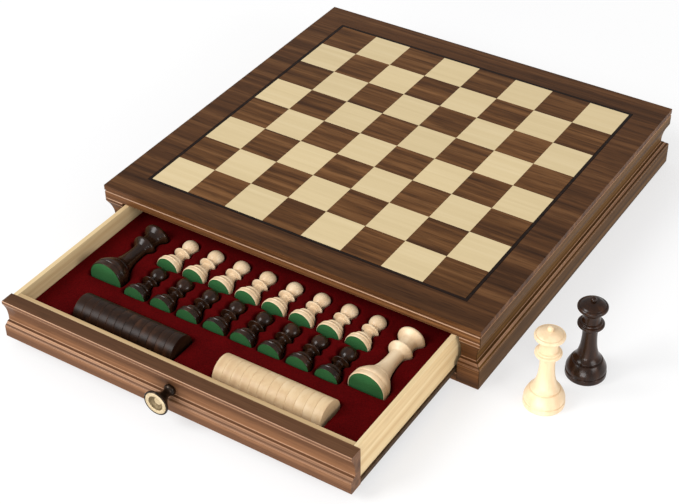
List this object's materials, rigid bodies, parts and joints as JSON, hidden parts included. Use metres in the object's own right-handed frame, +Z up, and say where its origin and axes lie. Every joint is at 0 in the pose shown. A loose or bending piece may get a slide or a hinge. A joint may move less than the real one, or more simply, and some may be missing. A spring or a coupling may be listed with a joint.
{
  "type": "chess set with board",
  "caption": "Low square board case with an inlaid chequered top, a moulded plinth and a lined storage drawer, with turned chess pieces and stacked draughts.",
  "frame": {"origin": "middle of the case's underside, on the surface the case stands on", "axes": "+Z up through the playing field; -Y out of the front, the way the drawer opens; +X to the right of someone facing the drawer"},
  "size_m": [0.442, 0.5298, 0.076],
  "materials": {
    "case_wood": "satin lacquered dark veneer",
    "field_veneer": "satin lacquered light and dark veneer squares",
    "inlay": "satin lacquered dark line",
    "drawer_wood": "thinly lacquered light wood",
    "panel_wood": "plain board",
    "velvet": "flocked, matt",
    "light_pieces": "satin lacquered light wood",
    "dark_pieces": "glossy dark-stained wood",
    "knob_bronze": "dark, glossy",
    "knob_brass": "antique, satin",
    "screw_steel": "plain"
  },
  "bodies": {
    "case": {"top_panel": "case_wood", "playing_field": "field_veneer", "inlay_line": "inlay", "left_wall": "case_wood", "back_wall": "case_wood", "right_wall": "case_wood", "front_top_rail": "case_wood", "right_front_stile": "case_wood", "left_front_stile": "case_wood", "front_bottom_rail": "case_wood", "case_bottom_panel": "panel_wood", "left_runner": "drawer_wood", "right_runner": "drawer_wood"},
    "drawer": {"drawer_front": "case_wood", "drawer_inner_front": "drawer_wood", "drawer_left_side": "drawer_wood", "drawer_right_side": "drawer_wood", "drawer_back": "drawer_wood", "drawer_bottom": "panel_wood", "insert": "velvet", "drawer_knob": "knob_bronze", "knob_face": "knob_brass", "knob_screw": "screw_steel", "dark_rook_left": "dark_pieces", "dark_rook_right": "dark_pieces", "dark_knight_left": "dark_pieces", "dark_knight_right": "dark_pieces", "dark_bishop_left": "dark_pieces", "dark_bishop_right": "dark_pieces", "dark_king": "dark_pieces", "light_rook_left": "light_pieces", "light_rook_right": "light_pieces", "light_knight_left": "light_pieces", "light_knight_right": "light_pieces", "light_bishop_left": "light_pieces", "light_bishop_right": "light_pieces", "light_king": "light_pieces"},
    "dark_pawn_1": {"dark_pawn_1": "dark_pieces"},
    "dark_pawn_2": {"dark_pawn_2": "dark_pieces"},
    "dark_pawn_3": {"dark_pawn_3": "dark_pieces"},
    "dark_pawn_4": {"dark_pawn_4": "dark_pieces"},
    "dark_pawn_5": {"dark_pawn_5": "dark_pieces"},
    "dark_pawn_6": {"dark_pawn_6": "dark_pieces"},
    "dark_pawn_7": {"dark_pawn_7": "dark_pieces"},
    "dark_pawn_8": {"dark_pawn_8": "dark_pieces"},
    "light_pawn_1": {"light_pawn_1": "light_pieces"},
    "light_pawn_2": {"light_pawn_2": "light_pieces"},
    "light_pawn_3": {"light_pawn_3": "light_pieces"},
    "light_pawn_4": {"light_pawn_4": "light_pieces"},
    "light_pawn_5": {"light_pawn_5": "light_pieces"},
    "light_pawn_6": {"light_pawn_6": "light_pieces"},
    "light_pawn_7": {"light_pawn_7": "light_pieces"},
    "light_pawn_8": {"light_pawn_8": "light_pieces"},
    "dark_queen_spare": {"dark_queen_spare": "dark_pieces"},
    "light_queen_spare": {"light_queen_spare": "light_pieces"},
    "dark_draughts": {"dark_draughts": "dark_pieces"},
    "light_draughts": {"light_draughts": "light_pieces"},
    "light_queen": {"light_queen": "light_pieces"},
    "dark_queen": {"dark_queen": "dark_pieces"}
  },
  "joints": [
    {"name": "drawer_slide", "type": "slide", "parent": "case", "child": "drawer", "axis": [0, -1, 0], "range_m": [-0.151, 0.135]},
    {"name": "lift_dark_pawn_1", "type": "slide", "parent": "drawer", "child": "dark_pawn_1", "axis": [0, 0, 1], "range_m": [0, 0.06]},
    {"name": "lift_dark_pawn_2", "type": "slide", "parent": "drawer", "child": "dark_pawn_2", "axis": [0, 0, 1], "range_m": [0, 0.06]},
    {"name": "lift_dark_pawn_3", "type": "slide", "parent": "drawer", "child": "dark_pawn_3", "axis": [0, 0, 1], "range_m": [0, 0.06]},
    {"name": "lift_dark_pawn_4", "type": "slide", "parent": "drawer", "child": "dark_pawn_4", "axis": [0, 0, 1], "range_m": [0, 0.06]},
    {"name": "lift_dark_pawn_5", "type": "slide", "parent": "drawer", "child": "dark_pawn_5", "axis": [0, 0, 1], "range_m": [0, 0.06]},
    {"name": "lift_dark_pawn_6", "type": "slide", "parent": "drawer", "child": "dark_pawn_6", "axis": [0, 0, 1], "range_m": [0, 0.06]},
    {"name": "lift_dark_pawn_7", "type": "slide", "parent": "drawer", "child": "dark_pawn_7", "axis": [0, 0, 1], "range_m": [0, 0.06]},
    {"name": "lift_dark_pawn_8", "type": "slide", "parent": "drawer", "child": "dark_pawn_8", "axis": [0, 0, 1], "range_m": [0, 0.06]},
    {"name": "lift_light_pawn_1", "type": "slide", "parent": "drawer", "child": "light_pawn_1", "axis": [0, 0, 1], "range_m": [0, 0.01]},
    {"name": "lift_light_pawn_2", "type": "slide", "parent": "drawer", "child": "light_pawn_2", "axis": [0, 0, 1], "range_m": [0, 0.01]},
    {"name": "lift_light_pawn_3", "type": "slide", "parent": "drawer", "child": "light_pawn_3", "axis": [0, 0, 1], "range_m": [0, 0.01]},
    {"name": "lift_light_pawn_4", "type": "slide", "parent": "drawer", "child": "light_pawn_4", "axis": [0, 0, 1], "range_m": [0, 0.01]},
    {"name": "lift_light_pawn_5", "type": "slide", "parent": "drawer", "child": "light_pawn_5", "axis": [0, 0, 1], "range_m": [0, 0.01]},
    {"name": "lift_light_pawn_6", "type": "slide", "parent": "drawer", "child": "light_pawn_6", "axis": [0, 0, 1], "range_m": [0, 0.01]},
    {"name": "lift_light_pawn_7", "type": "slide", "parent": "drawer", "child": "light_pawn_7", "axis": [0, 0, 1], "range_m": [0, 0.01]},
    {"name": "lift_light_pawn_8", "type": "slide", "parent": "drawer", "child": "light_pawn_8", "axis": [0, 0, 1], "range_m": [0, 0.01]},
    {"name": "lift_dark_queen_spare", "type": "slide", "parent": "drawer", "child": "dark_queen_spare", "axis": [0, 0, 1], "range_m": [0, 0.01]},
    {"name": "lift_light_queen_spare", "type": "slide", "parent": "drawer", "child": "light_queen_spare", "axis": [0, 0, 1], "range_m": [0, 0.01]},
    {"name": "lift_dark_draughts", "type": "slide", "parent": "drawer", "child": "dark_draughts", "axis": [0, 0, 1], "range_m": [0, 0.06]},
    {"name": "lift_light_draughts", "type": "slide", "parent": "drawer", "child": "light_draughts", "axis": [0, 0, 1], "range_m": [0, 0.06]},
    {"name": "lift_light_queen", "type": "slide", "parent": "case", "child": "light_queen", "axis": [0, 0, 1], "range_m": [0, 0.06]},
    {"name": "lift_dark_queen", "type": "slide", "parent": "case", "child": "dark_queen", "axis": [0, 0, 1], "range_m": [0, 0.06]}
  ]
}
